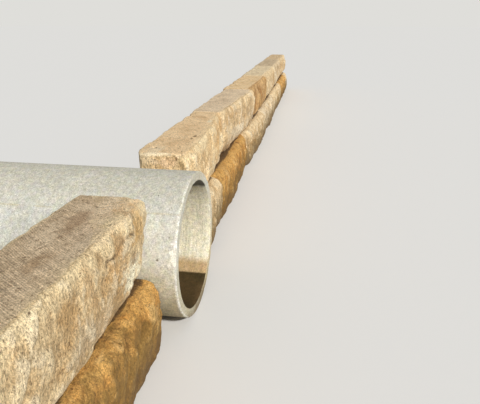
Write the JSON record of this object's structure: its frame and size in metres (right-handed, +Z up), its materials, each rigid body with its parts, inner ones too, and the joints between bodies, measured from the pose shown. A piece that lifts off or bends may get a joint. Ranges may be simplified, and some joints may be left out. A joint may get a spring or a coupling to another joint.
{
  "type": "culvert headwall",
  "caption": "Culvert headwall: a precast concrete pipe standing out between two wings of large rock-faced sandstone blocks laid dry in courses.",
  "frame": {"origin": "centre of the pipe's mouth, in the plane of its outlet end", "axes": "+X along the wall, to the right of someone facing the outlet; -Y out of the outlet; +Z up"},
  "size_m": [18.78, 2.44, 1.04],
  "materials": {
    "concrete": "matt, smooth cast concrete with faint mould seams",
    "sandstone_pale": "matt, split cream and honey sandstone with sawn beds",
    "sandstone_grey": "matt, split grey-beige sandstone with sawn beds",
    "sandstone_orange": "matt, split ochre and orange sandstone with sawn beds"
  },
  "bodies": {
    "root": {"concrete_pipe": "concrete", "left_upper_1": "sandstone_pale", "left_upper_2": "sandstone_pale", "left_upper_3": "sandstone_grey", "left_lower_1": "sandstone_orange", "left_lower_2": "sandstone_orange", "left_lower_3": "sandstone_orange", "left_lower_4": "sandstone_orange", "right_upper_1": "sandstone_pale", "right_upper_2": "sandstone_grey", "right_upper_3": "sandstone_orange", "right_upper_4": "sandstone_pale", "right_upper_5": "sandstone_grey", "right_upper_6": "sandstone_pale", "right_lower_1": "sandstone_pale", "right_lower_2": "sandstone_orange", "right_lower_3": "sandstone_pale", "right_lower_4": "sandstone_grey", "right_lower_5": "sandstone_pale", "right_lower_6": "sandstone_orange", "right_lower_7": "sandstone_pale"}
  },
  "joints": []
}
